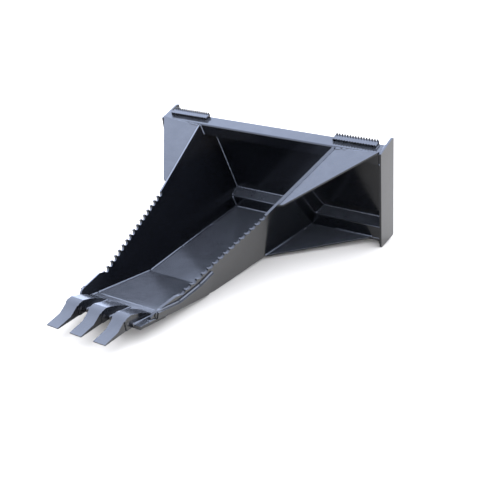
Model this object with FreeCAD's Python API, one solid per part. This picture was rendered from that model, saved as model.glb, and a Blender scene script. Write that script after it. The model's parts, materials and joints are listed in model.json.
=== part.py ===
import FreeCAD, Part
import math
import os

os.makedirs("parts", exist_ok=True)

# Narrow stump bucket on a universal skid steer quick-attach frame, in millimetres.
# It is laid out in the coupler frame: X across, Y towards the loader, Z up the upright back plate, with
# the origin on the front top edge of the upper rail. The finished weldment is then leaned forward until
# the belly bend and the feet of the end plates share the ground plane.
# A pair of numbers is a (y, z) point.

# coupler frame
half_width = 578.0
end_plate_t = 10.0
plate_t = 10.0
fold_r = 8.0
rail_depth = 66.0
rail_rise = 11.5
rail_drop = 52.0
recess = 88.0
lip_run = 66.0
weld_groove = 4.0
end_front = -3.0
end_rear = 134.0
end_foot_z = -464.0
end_heel_z = -470.0
end_corner_r = 9.0
end_top_flat = 14.0
end_top_drop = 3.0
end_cover = 1.0
shelf_z = -358.0
beam_front = 20.0
beam_top_z = -371.0
beam_bottom_z = -434.0
pin_slot_x = 412.0
pin_slot_long = 62.0
pin_slot_wide = 26.0
slot_pad_t = 8.0
slot_pad_margin = 18.0

# flared side plates: the inner face lies on x = side_at_origin + side_per_y * y + side_per_z * z
side_at_origin = 352.0
side_per_y = 0.104
side_per_z = 0.344
side_t = 10.0
side_top_z = -0.5
serration_rear = (-455.0, -118.0)
serration_front = (-962.0, -206.0)
serration_count = 16
serration_depth = 13.0
serration_land = 6.0
nose_rear_y = -984.0
nose_front_y = -1124.0
nose_level_z = -197.0
nose_radius = 36.0
foot_trim = 20.0

# floor: one bent plate, then a thicker cutting edge on the same slope
floor_t = 10.0
floor_bend_r = 40.0
floor_rear = (20.0, -429.0)
bend_rear = (-231.0, -397.0)
bend_mid = (-472.0, -369.0)
belly = (-722.0, -341.5)
front_slope = -0.2905
edge_t = 14.0
edge_rear_y = -1034.0
edge_front_y = -1177.0
edge_half_width = 172.0

# wear plates along the lower front of the side plates
wear_t = 10.0
wear_top = [(-1088.0, -196.0), (-962.0, -236.0), (-845.0, -232.0), (-772.0, -212.0)]

# wing gussets between the coupler frame and the side plates
gusset_t = 8.0
gusset_lap = 4.0
gusset_step = 14.0
gusset_inner_front_y = -376.0
gusset_outer_tip = (307.0, -375.0, -112.0)
gusset_tip_r = 13.0
lower_gusset_front_y = -368.0
lower_gusset_inset = 45.0

# teeth: wedge points on weld-on adapters
tooth_spacing = 111.0
blade_width = 54.0
box_width = 61.0
shank_width = 60.0
tip_y = -1326.0
tip_top_z = -194.5
tip_bottom_z = -199.0
blade_top = (-1256.0, -191.5)
box_front_y = -1205.0
box_rear_y = -1182.0
box_top_z = -165.0
box_bottom_z = -216.5
ear_front_y = -1215.0
socket_wall = 9.0
socket_clearance = 0.5
peg_front_y = -1240.0
peg_front_z = (-203.0, -196.0)
shank_crown = (-1126.0, -193.5)
shank_rear_y = -1066.0
shank_heel = 5.0
pin_radius = 6.0
pin_clearance = 0.3
pin_centre = (-1202.0, -188.0)
pin_inset = 1.0

# anti-slip steps on the upper rail
tread_inner_x = 335.0
tread_outer_x = 541.0
tread_front_y = 29.0
tread_rear_y = 66.0
tread_t = 4.0
tread_gap = 11.0
leg_inset = 2.0
tread_tooth_count = 16
tread_tooth_pitch = 12.8
tread_tooth_height = 8.0
tread_tooth_crest = 4.8
tread_tooth_shoulder = 2.6
tread_tooth_bite = 0.5
tread_notch_r = 4.0

# working sizes, larger than anything that they cut
far = 600.0
tall = 80.0

V = FreeCAD.Vector
X_AXIS = V(1, 0, 0)
inside = half_width - end_plate_t
rail_slope = rail_rise / rail_depth


def side_point(y, z):
    """Point on the inner face of the right side plate."""
    return V(side_at_origin + side_per_y * y + side_per_z * z, y, z)


side_normal = V(1.0, -side_per_y, -side_per_z).normalize()


def mirrored(shape):
    return shape.mirror(V(0, 0, 0), X_AXIS)


def prism(points, direction):
    wire = Part.makePolygon(list(points) + [points[0]])
    return Part.Face(wire).extrude(direction)


def section(profile, x_low, x_high):
    """A YZ profile swept along X."""
    points = [V(x_low, y, z) for y, z in profile]
    return prism(points, V(x_high - x_low, 0, 0))


def offset_path(path, thickness, side):
    """The far face of a bent plate whose near face follows the path."""
    steps = []
    for (y0, z0), (y1, z1) in zip(path, path[1:]):
        length = math.hypot(y1 - y0, z1 - z0)
        steps.append(V(0, -(z1 - z0) * side / length, (y1 - y0) * side / length))
    before = [steps[0]] + steps
    after = steps + [steps[-1]]
    offsets = []
    for (y, z), n0, n1 in zip(path, before, after):
        mean = (n0 + n1) * 0.5
        move = mean * (thickness / mean.dot(mean))
        offsets.append((y + move.y, z + move.z))
    return offsets


def strip(path, thickness, side):
    """Closed YZ profile of a bent plate."""
    return path + offset_path(path, thickness, side)[::-1]


def between(a, b, y):
    """Point at a given y on the straight line from a to b."""
    t = (y - a[0]) / (b[0] - a[0])
    return (y, a[1] + (b[1] - a[1]) * t)


def front_floor(y, height=0.0):
    """Point over the front floor facet, a given height above its upper face."""
    return (y, belly[1] + front_slope * (y - belly[0]) + height)


def on_rail(y, height=0.0):
    """Point over the sloping top of the rail."""
    return (y, rail_slope * y + height)


floor_path = [floor_rear, bend_rear, bend_mid, belly, front_floor(edge_rear_y)]
floor_underside = offset_path(floor_path, floor_t, 1.0)
foot_path = [front_floor(nose_front_y), front_floor(edge_rear_y)] + floor_underside[::-1]

# lean of the coupler frame when the belly bend and the rounded feet of the end plates rest on the ground
belly_y, belly_z = floor_underside[3]
foot_y = end_front + end_corner_r
foot_z = between((end_front, end_foot_z), (end_rear, end_heel_z), foot_y)[1] + end_corner_r
foot_reach = math.hypot(foot_y - belly_y, foot_z - belly_z)
foot_angle = math.atan2(foot_z - belly_z, foot_y - belly_y)
lean = math.asin(end_corner_r / foot_reach) - foot_angle

nodes = {}


def folded(shape, radius, y_low, y_high, z_low=-math.inf):
    """Round the folds of a bent plate: the edges along X within a range of y and above a height."""
    folds = []
    for edge in shape.Edges:
        centre = edge.CenterOfMass
        if edge.BoundBox.YLength < 1e-6 and y_low < centre.y < y_high and centre.z > z_low:
            folds.append(edge)
    return shape.makeFillet(radius, folds)


def add_pair(name, shape):
    """A sub-part on the right and its mirror image on the left."""
    nodes[name + "_right"] = shape
    nodes[name + "_left"] = mirrored(shape)


# end plates, with rounded feet
end_profile = [
    on_rail(end_front, end_cover),
    on_rail(end_rear - end_top_flat, end_cover),
    (end_rear, on_rail(end_rear - end_top_flat)[1] - end_top_drop),
    (end_rear, end_heel_z),
    (end_front, end_foot_z),
]
end_plate = section(end_profile, inside, half_width)
low_edges = [e for e in end_plate.Edges if e.CenterOfMass.z < end_foot_z + end_corner_r]
feet = [e for e in low_edges if e.BoundBox.YLength < 1e-6]
end_plate = end_plate.makeFillet(end_corner_r, feet)
add_pair("end_plate", end_plate)

# upper rail: folded front face and sloping top
rail_path = [(0.0, -rail_drop), (0.0, 0.0), (rail_depth, rail_rise)]
rail = section(strip(rail_path, plate_t, -1.0), -inside, inside)
rail = folded(rail, fold_r, -1.0, 1.0, -0.5 * rail_drop)
nodes["top_rail"] = rail

# hook lip sloping down towards the loader
lip_path = [(rail_depth, rail_rise), (rail_depth + lip_run, rail_rise - lip_run)]
lip = section(strip(lip_path, plate_t, -1.0), -inside, inside)
nodes["hook_lip"] = lip.cut(rail)

# upright back plate, its bevelled top edge tucked under the lip, open to the rear for a weld
lip_underside = rail_rise + rail_depth - plate_t * math.sqrt(2.0)
back_profile = [
    (recess, shelf_z),
    (recess, lip_underside - recess),
    (recess + plate_t, lip_underside - recess - plate_t - weld_groove),
    (recess + plate_t, shelf_z),
]
nodes["back_plate"] = section(back_profile, -inside, inside)

# lower beam: shelf and front face
shelf_path = [(recess + plate_t, shelf_z), (recess, shelf_z)]
beam_path = shelf_path + [(beam_front, beam_top_z), (beam_front, beam_bottom_z)]
beam = section(strip(beam_path, plate_t, 1.0), -inside, inside)
beam = folded(beam, fold_r, beam_front - 1.0, beam_front + 1.0, beam_top_z - 1.0)
nodes["lower_beam"] = beam

# bottom flange, level with the ground, with a reinforced slot for each lock pin
flange_rear = end_rear - plate_t
flange_rear_z = beam_bottom_z - (flange_rear - beam_front) * math.tan(lean)
flange_path = [(beam_front, beam_bottom_z), (flange_rear, flange_rear_z)]
flange = section(strip(flange_path, plate_t, -1.0), -inside, inside)
slot_y, slot_z = between(*flange_path, 0.5 * (beam_front + end_rear))


def on_flange(shape, x_centre):
    """Set a shape drawn about the origin onto the flange at a lock pin slot."""
    shape.rotate(V(0, 0, 0), X_AXIS, -math.degrees(lean))
    shape.translate(V(x_centre, slot_y, slot_z))
    return shape


def pin_slot():
    half = 0.5 * (pin_slot_long - pin_slot_wide)
    radius = 0.5 * pin_slot_wide
    slot = Part.makeBox(2 * half, pin_slot_wide, tall, V(-half, -radius, -0.5 * tall))
    for x in (-half, half):
        slot = slot.fuse(Part.makeCylinder(radius, tall, V(x, 0, -0.5 * tall)))
    return slot.removeSplitter()


def slot_pad():
    long = pin_slot_long + 2 * slot_pad_margin
    wide = pin_slot_wide + 2 * slot_pad_margin
    pad = Part.makeBox(long, wide, slot_pad_t, V(-0.5 * long, -0.5 * wide, 0))
    return pad.cut(pin_slot())


for x_slot in (-pin_slot_x, pin_slot_x):
    flange = flange.cut(on_flange(pin_slot(), x_slot))
nodes["bottom_flange"] = flange
add_pair("lock_pin_pad", on_flange(slot_pad(), pin_slot_x))


# side plates with scalloped upper edges
def serration_point(distance, depth=0.0):
    """Point at a distance along the scalloped edge, a given depth into the plate."""
    run = math.dist(serration_rear, serration_front)
    dy = (serration_front[0] - serration_rear[0]) / run
    dz = (serration_front[1] - serration_rear[1]) / run
    y = serration_rear[0] + dy * distance - dz * depth
    z = serration_rear[1] + dz * distance + dy * depth
    return side_point(y, z)


def serrations():
    """Scallops, each followed by a short straight land, from the rear to the front."""
    pitch = math.dist(serration_rear, serration_front) / serration_count
    edges = []
    for i in range(serration_count):
        start = serration_point(i * pitch)
        gullet = serration_point((i + 0.5) * pitch - 0.5 * serration_land, serration_depth)
        land = serration_point((i + 1) * pitch - serration_land)
        edges.append(Part.Arc(start, gullet, land).toShape())
        edges.append(Part.makeLine(land, serration_point((i + 1) * pitch)))
    return edges


def side_outline():
    """Outline of a side plate: scalloped top, rounded nose, folded foot to be trimmed, stepped rear edge."""
    bulge = nose_radius * (1.0 - math.sqrt(0.5))
    nose_top = side_point(nose_front_y + nose_radius, nose_level_z)
    nose_mid = side_point(nose_front_y + bulge, nose_level_z - bulge)
    nose_low = side_point(nose_front_y, nose_level_z - nose_radius)
    top_rear = side_point(gusset_lap, side_top_z)
    rear = [floor_rear, (beam_front, beam_top_z), (recess, shelf_z), (recess, -rail_drop), (0.0, -rail_drop)]
    last_tip = serration_point(math.dist(serration_rear, serration_front))
    front = [last_tip, side_point(nose_rear_y, nose_level_z)]
    foot = [(y, z - foot_trim) for y, z in foot_path]
    loop = [nose_low] + [side_point(y, z) for y, z in foot + rear] + [top_rear, serration_point(0.0)]
    edges = serrations()
    edges += [Part.makeLine(a, b) for a, b in zip(front, front[1:] + [nose_top])]
    edges.append(Part.Arc(nose_top, nose_mid, nose_low).toShape())
    edges += [Part.makeLine(a, b) for a, b in zip(loop, loop[1:])]
    return Part.Wire(edges)


# everything below the floor's underside and, in front, below the top of the cutting edge
ahead = nose_front_y - far
below = [(far, floor_underside[0][1]), (far, -far), (ahead, -far), front_floor(ahead)]
under_foot = section(foot_path + below, -far, far)

side_plate = Part.Face(side_outline()).extrude(side_normal * side_t)
side_plate = side_plate.cut(rail).cut(beam).cut(under_foot)
add_pair("side_plate", side_plate)

# floor, trimmed to the inner faces of the side plates
corners = [side_point(y, z) for y, z in ((-2 * far, -far), (far, -far), (far, far), (-2 * far, far))]
outside = prism(corners, side_normal * far)
floor_plate = section(strip(floor_path, floor_t, 1.0), -far, far)
floor_plate = folded(floor_plate, floor_bend_r, edge_rear_y + floor_t, floor_rear[0] - floor_t)
nodes["floor_plate"] = floor_plate.cut(outside).cut(mirrored(outside))

# cutting edge, running under the noses of the side plates
edge_path = [front_floor(edge_rear_y), front_floor(edge_front_y)]
nodes["cutting_edge"] = section(strip(edge_path, edge_t, 1.0), -edge_half_width, edge_half_width)

# wear plates on the outside of the side plates
wear_outline = wear_top + [front_floor(wear_top[-1][0]), front_floor(wear_top[0][0])]
wear_points = [side_point(y, z) + side_normal * side_t for y, z in wear_outline]
add_pair("wear_plate", prism(wear_points, side_normal * wear_t).cut(under_foot))

# upper wing gussets: flat plates from the rail's front edge to the side plates, a step below their tops
upper_inner_rear = side_point(0.0, side_top_z - gusset_step) + side_normal * side_t
side_top_y, side_top_z_there = between((0.0, side_top_z), serration_rear, gusset_inner_front_y)
upper_inner_front = side_point(side_top_y, side_top_z_there - gusset_step) + side_normal * side_t
upper_outer_rear = V(inside, 0.0, 0.0)
gusset_normal = (upper_inner_front - upper_inner_rear).cross(upper_outer_rear - upper_inner_rear).normalize()
above_plane = (V(*gusset_outer_tip) - upper_inner_rear).dot(gusset_normal)
upper_outer_front = V(*gusset_outer_tip) - gusset_normal * above_plane
along = upper_inner_rear - upper_inner_front
across = upper_outer_rear - upper_inner_rear
lap = along - across * (along.x / across.x)
lap = lap * (gusset_lap / lap.y)
gusset_outline = [upper_inner_rear + lap, upper_outer_rear + lap, upper_outer_front, upper_inner_front]
gusset = prism(gusset_outline, gusset_normal * gusset_t)
tips = [e for e in gusset.Edges if (e.CenterOfMass - upper_outer_front).Length < gusset_t]
gusset = gusset.makeFillet(gusset_tip_r, tips)
add_pair("upper_gusset", gusset.cut(rail).cut(side_plate).cut(end_plate))

# lower wing gussets: level triangles from the lower beam to the side plates
low_z = floor_rear[1]
low_front_z = between(bend_mid, bend_rear, lower_gusset_front_y)[1]
low_inner_rear = side_point(beam_front, low_z) + side_normal * side_t
low_inner_front = side_point(lower_gusset_front_y, low_front_z) + side_normal * side_t
low_outer_rear = V(inside - lower_gusset_inset, beam_front, low_z)
low_gusset = prism([low_inner_rear, low_outer_rear, low_inner_front], V(0, 0, -gusset_t))
add_pair("lower_gusset", low_gusset.cut(side_plate).cut(beam).cut(flange))

# teeth
peg_half = 0.5 * blade_width - socket_wall
peg_profile = [
    (peg_front_y, peg_front_z[0]),
    (box_rear_y, box_bottom_z + socket_wall),
    (box_rear_y, box_top_z - socket_wall),
    (peg_front_y, peg_front_z[1]),
]
socket_profile = [
    (peg_front_y - socket_clearance, peg_front_z[0] - socket_clearance),
    (box_rear_y + socket_clearance, box_bottom_z + socket_wall - socket_clearance),
    (box_rear_y + socket_clearance, box_top_z - socket_wall + socket_clearance),
    (peg_front_y - socket_clearance, peg_front_z[1] + socket_clearance),
]
box_bottom = (box_rear_y, box_bottom_z)
box_top = (box_front_y, box_top_z)
blade_low = [(tip_y, tip_bottom_z), box_bottom]
blade_profile = blade_low + [(box_rear_y, box_top_z), box_top, blade_top, (tip_y, tip_top_z)]
ear_profile = [
    between(box_bottom, (tip_y, tip_bottom_z), ear_front_y),
    box_bottom,
    (box_rear_y, box_top_z),
    box_top,
    between(box_top, blade_top, ear_front_y),
]


def centred(profile, width):
    return section(profile, -0.5 * width, 0.5 * width)


def cross_bar(radius, length):
    """Round bar across a tooth at its retaining pin."""
    return Part.makeCylinder(radius, length, V(-0.5 * length, *pin_centre), X_AXIS)


def shank():
    """Body of the adapter, its crowned back running down onto the cutting edge."""
    x = -0.5 * shank_width
    toe = V(x, *front_floor(box_rear_y))
    brow = V(x, box_rear_y, box_top_z)
    heel_top = V(x, *front_floor(shank_rear_y, shank_heel))
    heel = V(x, *front_floor(shank_rear_y))
    edges = [
        Part.makeLine(heel, toe),
        Part.makeLine(toe, brow),
        Part.Arc(brow, V(x, *shank_crown), heel_top).toShape(),
        Part.makeLine(heel_top, heel),
    ]
    return Part.Face(Part.Wire(edges)).extrude(V(shank_width, 0, 0))


pin_hole = cross_bar(pin_radius + pin_clearance, 2 * box_width)
adapter = shank().fuse(centred(peg_profile, 2 * peg_half)).cut(pin_hole)
tooth_point = centred(blade_profile, blade_width).fuse(centred(ear_profile, box_width)).removeSplitter()
tooth_point = tooth_point.cut(centred(socket_profile, 2 * (peg_half + socket_clearance))).cut(pin_hole)
tooth_pin = cross_bar(pin_radius, box_width - 2 * pin_inset)
for side, place in (("left", -tooth_spacing), ("centre", 0.0), ("right", tooth_spacing)):
    for kind, shape in (("adapter", adapter), ("point", tooth_point), ("pin", tooth_pin)):
        nodes["tooth_" + kind + "_" + side] = shape.translated(V(place, 0, 0))


# anti-slip steps: toothed treads bridging the rail on end legs
def tread():
    """Angle with upstanding teeth along its rear edge and notches along its front edge."""
    profile = [on_rail(y, tread_gap) for y in (tread_front_y, tread_rear_y)]
    profile += [on_rail(y, tread_gap + tread_t) for y in (tread_rear_y, tread_front_y)]
    plate = section(profile, tread_inner_x, tread_outer_x)
    web = [on_rail(tread_rear_y - tread_t), on_rail(tread_rear_y)]
    web += [on_rail(tread_rear_y, tread_gap), on_rail(tread_rear_y - tread_t, tread_gap)]
    plate = plate.fuse(section(web, tread_inner_x, tread_outer_x))
    first = 0.5 * (tread_inner_x + tread_outer_x - tread_tooth_count * tread_tooth_pitch)
    base_z = on_rail(tread_rear_y, tread_gap + tread_t)[1] - tread_tooth_bite
    for i in range(tread_tooth_count):
        x_low = first + i * tread_tooth_pitch
        x_mid = x_low + 0.5 * tread_tooth_pitch
        tooth = [
            V(x_low + tread_tooth_shoulder, tread_rear_y, base_z),
            V(x_low + tread_tooth_pitch - tread_tooth_shoulder, tread_rear_y, base_z),
            V(x_mid + 0.5 * tread_tooth_crest, tread_rear_y, base_z + tread_tooth_height),
            V(x_mid - 0.5 * tread_tooth_crest, tread_rear_y, base_z + tread_tooth_height),
        ]
        plate = plate.fuse(prism(tooth, V(0, -tread_t, 0)))
        plate = plate.cut(Part.makeCylinder(tread_notch_r, tall, V(x_mid, tread_front_y, -0.5 * tall)))
    return plate.removeSplitter()


def leg(x_low):
    profile = [on_rail(y) for y in (tread_front_y + leg_inset, tread_rear_y - tread_t)]
    profile += [on_rail(y, tread_gap) for y in (tread_rear_y - tread_t, tread_front_y + leg_inset)]
    return section(profile, x_low, x_low + tread_t)


add_pair("step_tread", tread())
add_pair("step_legs", Part.makeCompound([leg(tread_inner_x), leg(tread_outer_x - tread_t)]))

# lean the weldment onto the ground, then put the origin at the centre of its footprint
for shape in nodes.values():
    shape.rotate(V(0, 0, 0), X_AXIS, math.degrees(lean))
whole = Part.makeCompound(list(nodes.values())).BoundBox
shift = V(-0.5 * (whole.XMin + whole.XMax), -0.5 * (whole.YMin + whole.YMax), -whole.ZMin)
for name, shape in nodes.items():
    shape.translate(shift)
    shape.exportStep("parts/" + name + ".step")
print("lean", math.degrees(lean), "shift", shift, "size", whole.XLength, whole.YLength, whole.ZLength)
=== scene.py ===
import json
import math

import bmesh
import bpy
from mathutils import Euler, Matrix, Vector, noise
from mathutils.bvhtree import BVHTree


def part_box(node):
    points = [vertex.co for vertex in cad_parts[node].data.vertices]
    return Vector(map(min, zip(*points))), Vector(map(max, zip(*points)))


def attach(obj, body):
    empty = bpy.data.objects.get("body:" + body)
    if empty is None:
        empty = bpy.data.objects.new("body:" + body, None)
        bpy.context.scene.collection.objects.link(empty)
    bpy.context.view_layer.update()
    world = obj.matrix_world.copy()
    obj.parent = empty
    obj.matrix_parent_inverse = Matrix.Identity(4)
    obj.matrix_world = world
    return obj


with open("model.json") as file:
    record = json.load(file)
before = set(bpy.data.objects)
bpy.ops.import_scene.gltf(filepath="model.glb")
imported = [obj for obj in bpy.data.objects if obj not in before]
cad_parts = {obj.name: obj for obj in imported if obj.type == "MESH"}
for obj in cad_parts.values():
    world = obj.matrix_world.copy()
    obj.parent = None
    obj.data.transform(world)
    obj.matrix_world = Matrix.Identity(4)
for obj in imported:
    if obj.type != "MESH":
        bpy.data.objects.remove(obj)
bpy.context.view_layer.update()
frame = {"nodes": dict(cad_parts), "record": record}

MM = 0.001
nodes = frame["nodes"]
scene = bpy.context.scene


# ---- camera, floor and light ----

CAMERA_PLACE = (1.8121, -2.4514, 1.4981)
CAMERA_TURNS = (65.368, 0.533, 31.772)
LENS = 57.22
SENSOR = 36.0
SHIFT = (-0.0074, -0.0055)
SKY_COLOUR = (0.635, 0.735, 1.0, 1.0)
SKY_STRENGTH = 5.0
FLOOR_HALF = 30.0


def make_camera():
    data = bpy.data.cameras.new("camera")
    data.sensor_width = SENSOR
    data.lens = LENS
    data.shift_x, data.shift_y = SHIFT
    camera = bpy.data.objects.new("camera", data)
    camera.location = CAMERA_PLACE
    camera.rotation_euler = Euler([math.radians(turn) for turn in CAMERA_TURNS])
    scene.collection.objects.link(camera)
    scene.camera = camera


def mesh_object(name, verts, faces, material):
    """A new smooth-shaded mesh object."""
    mesh = bpy.data.meshes.new(name)
    mesh.from_pydata(verts, [], faces)
    mesh.polygons.foreach_set("use_smooth", [True] * len(mesh.polygons))
    mesh.materials.append(material)
    made = bpy.data.objects.new(name, mesh)
    scene.collection.objects.link(made)
    return made


def make_world():
    world = bpy.data.worlds.new("studio")
    world.use_nodes = True
    sky = world.node_tree.nodes["Background"]
    sky.inputs["Color"].default_value = SKY_COLOUR
    sky.inputs["Strength"].default_value = SKY_STRENGTH
    scene.world = world
    scene.view_settings.view_transform = "Standard"


def make_floor():
    corners = [(x * FLOOR_HALF, y * FLOOR_HALF, 0) for x, y in ((-1, -1), (1, -1), (1, 1), (-1, 1))]
    floor = mesh_object("floor", corners, [(0, 1, 2, 3)], floor_material())


# ---- materials ----

PALE_FLOOR = ((0.55, 0.475, 0.36, 1.0), (0.575, 0.50, 0.38, 1.0))
BLACK_ENAMEL = ((0.0020, 0.0021, 0.0024, 1.0), (0.0034, 0.0036, 0.0040, 1.0))
# painted sheen: a lighter grey laid on upward faces, standing in for the sky reflected in them
PAINTED_SKY_SHEEN = (0.031, 0.031, 0.031, 1.0)
SCUFFED = (0.16, 0.155, 0.15, 1.0)
STEEL = ((0.05, 0.045, 0.042, 1.0), (0.16, 0.155, 0.15, 1.0))
# upward tilt of the normal over which the painted sheen fades in
SHEEN_PAINT_FROM, SHEEN_PAINT_FULL = 0.55, 0.95
SCUFF_REACH = 2.5 * MM


def add(tree, kind, settings=(), **sockets):
    """A shader node. Each keyword names a socket, with _ for a space, and gives its value or its link."""
    made = tree.nodes.new("ShaderNode" + kind)
    for key, value in dict(settings).items():
        setattr(made, key, value)
    for key, value in sockets.items():
        socket = made.inputs[key.replace("_", " ")]
        if isinstance(value, bpy.types.NodeSocket):
            tree.links.new(value, socket)
        else:
            socket.default_value = value
    return made


def maths(tree, operation, first, second):
    made = tree.nodes.new("ShaderNodeMath")
    made.operation = operation
    made.use_clamp = True
    for socket, value in zip(made.inputs, (first, second)):
        if isinstance(value, bpy.types.NodeSocket):
            tree.links.new(value, socket)
        else:
            socket.default_value = value
    return made.outputs[0]


def new_material(name):
    material = bpy.data.materials.new(name)
    material.use_nodes = True
    tree = material.node_tree
    tree.nodes.clear()
    shader = add(tree, "BsdfPrincipled")
    output = add(tree, "OutputMaterial", Surface=shader.outputs[0])
    output.location = (300, 0)
    place = add(tree, "TexCoord").outputs["Object"]
    return material, tree, shader, place


def noise_map(tree, place, scale, detail, low, high, out_low, out_high):
    """Noise with its values from low to high spread over a new range."""
    made = add(tree, "TexNoise", Vector=place, Scale=scale, Detail=detail)
    spread = add(tree, "MapRange", Value=made.outputs[0], From_Min=low, From_Max=high)
    spread.inputs["To Min"].default_value = out_low
    spread.inputs["To Max"].default_value = out_high
    return spread.outputs[0]


def two_tones(tree, value, tones):
    """A ramp between two colours."""
    ramp = add(tree, "ValToRGB", Fac=value)
    for element, tone in zip(ramp.color_ramp.elements, tones):
        element.color = tone
    return ramp.outputs[0]


def floor_material():
    material, tree, shader, place = new_material("pale_floor")
    tone = add(tree, "TexNoise", Vector=place, Scale=0.7, Detail=2.0)
    tree.links.new(two_tones(tree, tone.outputs[0], PALE_FLOOR), shader.inputs["Base Color"])
    shader.inputs["Roughness"].default_value = 0.9
    shader.inputs["Specular IOR Level"].default_value = 0.0
    return material


def black_paint(name, gloss, peel, wave, scuff, sheen=0.5):
    """Glossy black enamel: orange peel, slight plate waviness, uneven gloss, a painted sheen lightening the
    upward faces, scuffed edges.
    """
    material, tree, shader, place = new_material(name)
    uneven = noise_map(tree, place, 6.0, 5.0, 0.3, 0.7, gloss, gloss + 0.08)
    normal = add(tree, "NewGeometry").outputs["Normal"]
    up = add(tree, "SeparateXYZ", Vector=normal).outputs["Z"]
    # painted sheen: the more a face points up, the lighter its colour, in place of reflected sky light;
    # patchy noise breaks it up
    level = add(tree, "MapRange", Value=up, From_Min=SHEEN_PAINT_FROM, From_Max=SHEEN_PAINT_FULL).outputs[0]
    sheen_patches = noise_map(tree, place, 22.0, 8.0, 0.25, 0.75, 0.6, 1.0)
    painted_sheen = maths(tree, "MULTIPLY", level, sheen_patches)
    tone = add(tree, "TexNoise", Vector=place, Scale=35.0, Detail=4.0)
    enamel = two_tones(tree, tone.outputs[0], BLACK_ENAMEL)
    with_painted_sheen = add(tree, "MixRGB", Fac=painted_sheen, Color1=enamel, Color2=PAINTED_SKY_SHEEN)
    round_normal = add(tree, "Bevel", {"samples": 4}, Radius=SCUFF_REACH).outputs[0]
    flatness = add(tree, "VectorMath", {"operation": "DOT_PRODUCT"})
    tree.links.new(round_normal, flatness.inputs[0])
    tree.links.new(normal, flatness.inputs[1])
    edge = add(tree, "MapRange", Value=flatness.outputs["Value"], From_Min=0.97, From_Max=0.80)
    patches = noise_map(tree, place, 160.0, 6.0, 0.50, 0.62, 0.0, scuff)
    worn = maths(tree, "MULTIPLY", edge.outputs[0], patches)
    colour = add(tree, "MixRGB", Fac=worn, Color1=with_painted_sheen.outputs[0], Color2=SCUFFED)
    tree.links.new(colour.outputs[0], shader.inputs["Base Color"])
    rough = maths(tree, "ADD", uneven, maths(tree, "MULTIPLY", worn, 0.5))
    tree.links.new(rough, shader.inputs["Roughness"])
    waves = add(tree, "TexNoise", Vector=place, Scale=9.0, Detail=1.0)
    wavy = add(tree, "Bump", Height=waves.outputs[0], Distance=wave, Strength=1.0)
    skin = add(tree, "TexNoise", Vector=place, Scale=420.0, Detail=2.0)
    bump = add(tree, "Bump", Height=skin.outputs[0], Distance=peel, Strength=1.0, Normal=wavy.outputs[0])
    tree.links.new(bump.outputs[0], shader.inputs["Normal"])
    shader.inputs["Specular IOR Level"].default_value = sheen
    return material


def pin_steel():
    """Drawn steel with a faint brown bloom."""
    material, tree, shader, place = new_material("pin_steel")
    bloom = add(tree, "TexNoise", Vector=place, Scale=240.0, Detail=5.0)
    tree.links.new(two_tones(tree, bloom.outputs[0], STEEL), shader.inputs["Base Color"])
    rough = noise_map(tree, place, 500.0, 3.0, 0.3, 0.7, 0.3, 0.5)
    tree.links.new(rough, shader.inputs["Roughness"])
    bump = add(tree, "Bump", Height=bloom.outputs[0], Distance=0.05 * MM, Strength=1.0)
    tree.links.new(bump.outputs[0], shader.inputs["Normal"])
    shader.inputs["Metallic"].default_value = 0.9
    return material


# ---- finish of the CAD nodes ----

SAME_POINT = 0.01 * MM
FLAT_WITHIN = math.radians(0.5)
SHARP_FROM = math.radians(35.0)
SMOOTH_BELOW = math.radians(30.0)


def smooth_group():
    """Geometry nodes that shade smooth across every edge gentler than a set angle."""
    group = bpy.data.node_groups.new("smooth_gentle_edges", "GeometryNodeTree")
    group.interface.new_socket("Geometry", in_out="INPUT", socket_type="NodeSocketGeometry")
    group.interface.new_socket("Geometry", in_out="OUTPUT", socket_type="NodeSocketGeometry")
    start = group.nodes.new("NodeGroupInput")
    end = group.nodes.new("NodeGroupOutput")
    faces = group.nodes.new("GeometryNodeSetShadeSmooth")
    faces.domain = "FACE"
    edges = group.nodes.new("GeometryNodeSetShadeSmooth")
    edges.domain = "EDGE"
    angle = group.nodes.new("GeometryNodeInputMeshEdgeAngle")
    gentle = group.nodes.new("FunctionNodeCompare")
    gentle.operation = "LESS_THAN"
    gentle.inputs["B"].default_value = SMOOTH_BELOW
    group.links.new(start.outputs[0], faces.inputs["Geometry"])
    group.links.new(angle.outputs["Unsigned Angle"], gentle.inputs["A"])
    group.links.new(gentle.outputs[0], edges.inputs["Shade Smooth"])
    group.links.new(faces.outputs[0], edges.inputs["Geometry"])
    group.links.new(edges.outputs[0], end.inputs[0])
    return group


def finish_node(name, material, width, smoothing):
    """Paint a CAD node, break its sharp edges and keep its flat faces evenly shaded."""
    node = nodes[name]
    node.material_slots[0].material = material
    weld = node.modifiers.new("merge", "WELD")
    weld.merge_threshold = SAME_POINT
    flat = node.modifiers.new("flatten", "DECIMATE")
    flat.decimate_type = "DISSOLVE"
    flat.angle_limit = FLAT_WITHIN
    bevel = node.modifiers.new("broken_edges", "BEVEL")
    bevel.width = width
    bevel.segments = 3
    bevel.limit_method = "ANGLE"
    bevel.angle_limit = SHARP_FROM
    bevel.miter_outer = "MITER_ARC"
    shade = node.modifiers.new("shade", "NODES")
    shade.node_group = smoothing
    even = node.modifiers.new("even_faces", "WEIGHTED_NORMAL")
    even.weight = 100
    even.keep_sharp = True


# ---- weld beads ----

SAMPLE = 6.0 * MM          # between the points tried along an edge
TOUCH = 0.6 * MM           # largest gap between plates that meet
PROBE = 4.0 * MM           # how far round an edge the corner is felt
CELL = 5.0 * MM            # nearest that two beads in the same line may lie
STEP_OFF = 0.01 * MM       # from one surface crossing to the search for the next
DIRECTIONS = 24
EDGE_ANGLE = math.radians(25.0)
END_TRIM = 0.01
NARROWEST, WIDEST = 50.0, 200.0
PARALLEL = 0.9
RAY = Vector((0.3217, 0.5719, 0.7546)).normalized()


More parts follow.
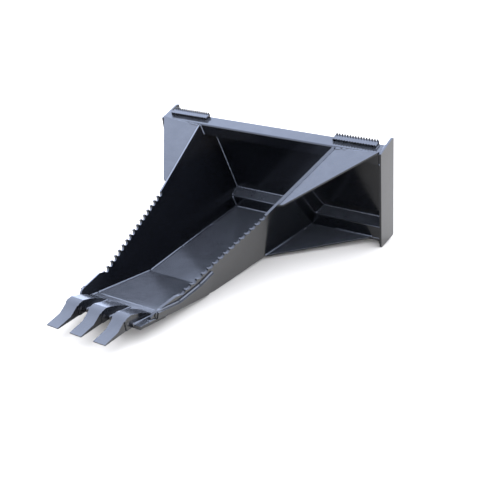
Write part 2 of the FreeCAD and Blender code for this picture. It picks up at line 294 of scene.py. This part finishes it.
class Solid:
    """Surface and sharp edges of one CAD node."""

    def __init__(self, name):
        self.name = name
        mesh = bmesh.new()
        mesh.from_mesh(nodes[name].data)
        bmesh.ops.remove_doubles(mesh, verts=mesh.verts, dist=SAME_POINT)
        self.tree = BVHTree.FromBMesh(mesh)
        self.low, self.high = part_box(name)
        sharp = [e for e in mesh.edges if e.is_manifold and e.calc_face_angle() > EDGE_ANGLE]
        self.edges = [(e.verts[0].co.copy(), e.verts[1].co.copy()) for e in sharp]
        mesh.free()

    def near(self, point, reach):
        return all(self.low[i] - reach < point[i] < self.high[i] + reach for i in range(3))

    def touches(self, point):
        return self.near(point, TOUCH) and self.tree.find_nearest(point, TOUCH)[0] is not None

    def holds(self, point):
        """True if the point is inside: a ray out of it crosses the surface an odd number of times."""
        if not self.near(point, 0.0):
            return False
        crossings = 0
        hit = self.tree.ray_cast(point, RAY)[0]
        while hit is not None:
            crossings += 1
            hit = self.tree.ray_cast(hit + RAY * STEP_OFF, RAY)[0]
        return crossings % 2 == 1


def open_corner(point, along, solids):
    """Middle direction and span, in degrees, of the widest open angle round an edge."""
    side = along.orthogonal().normalized()
    up = along.cross(side)
    turns = [2 * math.pi * (i + 0.5) / DIRECTIONS for i in range(DIRECTIONS)]
    rays = [side * math.cos(t) + up * math.sin(t) for t in turns]
    free = [not any(s.holds(point + r * PROBE) for s in solids) for r in rays]
    if all(free) or not any(free):
        return None, 0.0
    widest, first = 0, 0
    for start in range(DIRECTIONS):
        if free[start] and not free[start - 1]:
            width = 1
            while free[(start + width) % DIRECTIONS]:
                width += 1
            if width > widest:
                widest, first = width, start
    middle = sum((rays[(first + i) % DIRECTIONS] for i in range(widest)), Vector())
    return middle.normalized(), widest * 360.0 / DIRECTIONS


def is_taken(taken, point, along, edge):
    """True if another edge in nearly the same line already has a bead here."""
    key = [round(c / CELL) for c in point]
    for i in (-1, 0, 1):
        for j in (-1, 0, 1):
            for k in (-1, 0, 1):
                for other, direction, place in taken.get((key[0] + i, key[1] + j, key[2] + k), ()):
                    close = (place - point).length < CELL
                    if other != edge and close and abs(direction.dot(along)) > PARALLEL:
                        return True
    return False


def seam_at(point, along, solid, solids):
    """What an edge of one plate meets at a point: the other plate, the corner's middle and its span."""
    others = [s for s in solids if s is not solid and s.touches(point)]
    if not others:
        return None
    around = [s for s in solids if s.near(point, 2 * PROBE)]
    middle, span = open_corner(point, along, around)
    if not NARROWEST < span < WIDEST:
        return None
    return point, middle, span, others[0].name


def find_seams(names):
    """Stretches where an edge of one plate lies on another and the corner is open."""
    solids = [Solid(name) for name in names]
    taken = {}
    seams = []
    edges = [(solid, edge) for solid in solids for edge in solid.edges]
    for index, (solid, (start, end)) in enumerate(edges):
        length = (end - start).length
        if length < SAMPLE:
            continue
        along = (end - start) / length
        count = round(length / SAMPLE) + 1
        run = []
        for i in range(count + 1):
            found = None
            if i < count:
                point = start.lerp(end, END_TRIM + (1.0 - 2.0 * END_TRIM) * i / (count - 1))
                if not is_taken(taken, point, along, index):
                    found = seam_at(point, along, solid, solids)
            if found:
                key = tuple(round(c / CELL) for c in point)
                taken.setdefault(key, []).append((index, along, point))
            if run and (not found or found[3] != run[-1][3]):
                if len(run) > 1:
                    seams.append((solid.name, run))
                run = []
            if found:
                run.append(found)
    return seams


RIPPLE = 4.0 * MM
RIPPLE_DEPTH = 0.09
RINGS_PER_RIPPLE = 4
RING_TURNS = [math.radians(turn) for turn in (-150, -100, -70, -42, -14, 14, 42, 70, 100, 150)]
FLUSH = 130.0              # open angle, in degrees, above which a seam is flush and not a corner
OVERRUN = 0.6              # how far a bead runs on past each end, as a share of its radius
END_SHARE = 0.02           # square of the share of the radius that is left at the very end
WANDER_SCALE = 60.0
WANDER_SHIFT = 0.4 * MM
WANDER_SIZE = 0.08
GROUND_CLEARANCE = 0.2 * MM


def bead_size(first, second, span):
    """Radius of the bead's round section, and how far its centre is sunk into the corner."""
    pair = first + " " + second
    if "step" in pair:
        radius = 2.6 * MM
    elif "pad" in pair:
        radius = 4.5 * MM
    elif "upper_gusset" in pair and "side_plate" in pair:
        radius = 5.0 * MM
    elif "adapter" in pair:
        radius = 8.0 * MM
    else:
        radius = 7.5 * MM
    if span > FLUSH:
        return 0.7 * radius, 0.45 * radius
    return radius, 0.35 * radius


def add_bead(verts, faces, start, end, middle, radius, sunk):
    """One straight, rippled bead with rounded ends."""
    along = (end - start).normalized()
    start = start - along * (OVERRUN * radius)
    end = end + along * (OVERRUN * radius)
    length = (end - start).length
    middle = (middle - along * middle.dot(along)).normalized()
    across = along.cross(middle)
    count = max(6, round(length / RIPPLE * RINGS_PER_RIPPLE))
    first = len(verts)
    for i in range(count + 1):
        s = length * i / count
        nearest_end = min(s, length - s)
        taper = math.sqrt(max(END_SHARE, 1.0 - max(0.0, 1.0 - nearest_end / radius) ** 2))
        place = start + along * s
        wander = noise.noise(place * WANDER_SCALE)
        centre = place - middle * sunk + across * (WANDER_SHIFT * wander)
        for turn in RING_TURNS:
            phase = (s + 0.5 * radius * (1.0 - math.cos(turn))) / RIPPLE % 1.0
            ripple = 1.0 - RIPPLE_DEPTH * (2.0 * phase - 1.0) ** 2
            size = radius * taper * ripple * (1.0 + WANDER_SIZE * wander)
            point = centre + middle * (size * math.cos(turn)) + across * (size * math.sin(turn))
            point.z = max(point.z, GROUND_CLEARANCE)
            verts.append(point)
    ring = len(RING_TURNS)
    for i in range(count):
        for j in range(ring):
            a = first + i * ring + j
            b = first + i * ring + (j + 1) % ring
            faces.append((a, b, b + ring, a + ring))
    last = first + count * ring
    faces.append(tuple(range(first + ring - 1, first - 1, -1)))
    faces.append(tuple(range(last, last + ring)))


def make_welds(material):
    """All the beads, one piece for each pair of plates."""
    names = sorted(n for n in nodes if not n.startswith(("tooth_point", "tooth_pin")))
    pairs = {}
    for first, run in find_seams(names):
        second = run[0][3]
        start, end = run[0][0], run[-1][0]
        span = sorted(found[2] for found in run)[len(run) // 2]
        if "pad" in first + second and span > FLUSH:
            continue
        middle = sum((found[1] for found in run), Vector())
        radius, sunk = bead_size(first, second, span)
        key = "_to_".join(sorted((first, second)))
        verts, faces = pairs.setdefault(key, ([], []))
        add_bead(verts, faces, start, end, middle, radius, sunk)
    for key, (verts, faces) in pairs.items():
        piece = mesh_object("weld_" + key, verts, faces, material)
        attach(piece, "root")


# ---- the making ----

make_camera()
make_world()
make_floor()

finishes = {
    "frame_paint": black_paint("frame_paint", 0.09, 0.012 * MM, 0.5 * MM, 0.25),
    "edge_paint": black_paint("edge_paint", 0.13, 0.015 * MM, 0.4 * MM, 0.5),
    "casting_paint": black_paint("casting_paint", 0.16, 0.05 * MM, 0.3 * MM, 0.5, 0.65),
    "pin_steel": pin_steel(),
}
broken_edge = {
    "frame_paint": 1.0 * MM,
    "edge_paint": 1.2 * MM,
    "casting_paint": 2.5 * MM,
    "pin_steel": 0.8 * MM,
}
smoothing = smooth_group()
for part in frame["record"]["subparts"]:
    slot = part["material_slot"]
    finish_node(part["node"], finishes[slot], broken_edge[slot], smoothing)

make_welds(black_paint("weld_paint", 0.2, 0.03 * MM, 0.1 * MM, 0.15, 1.0))
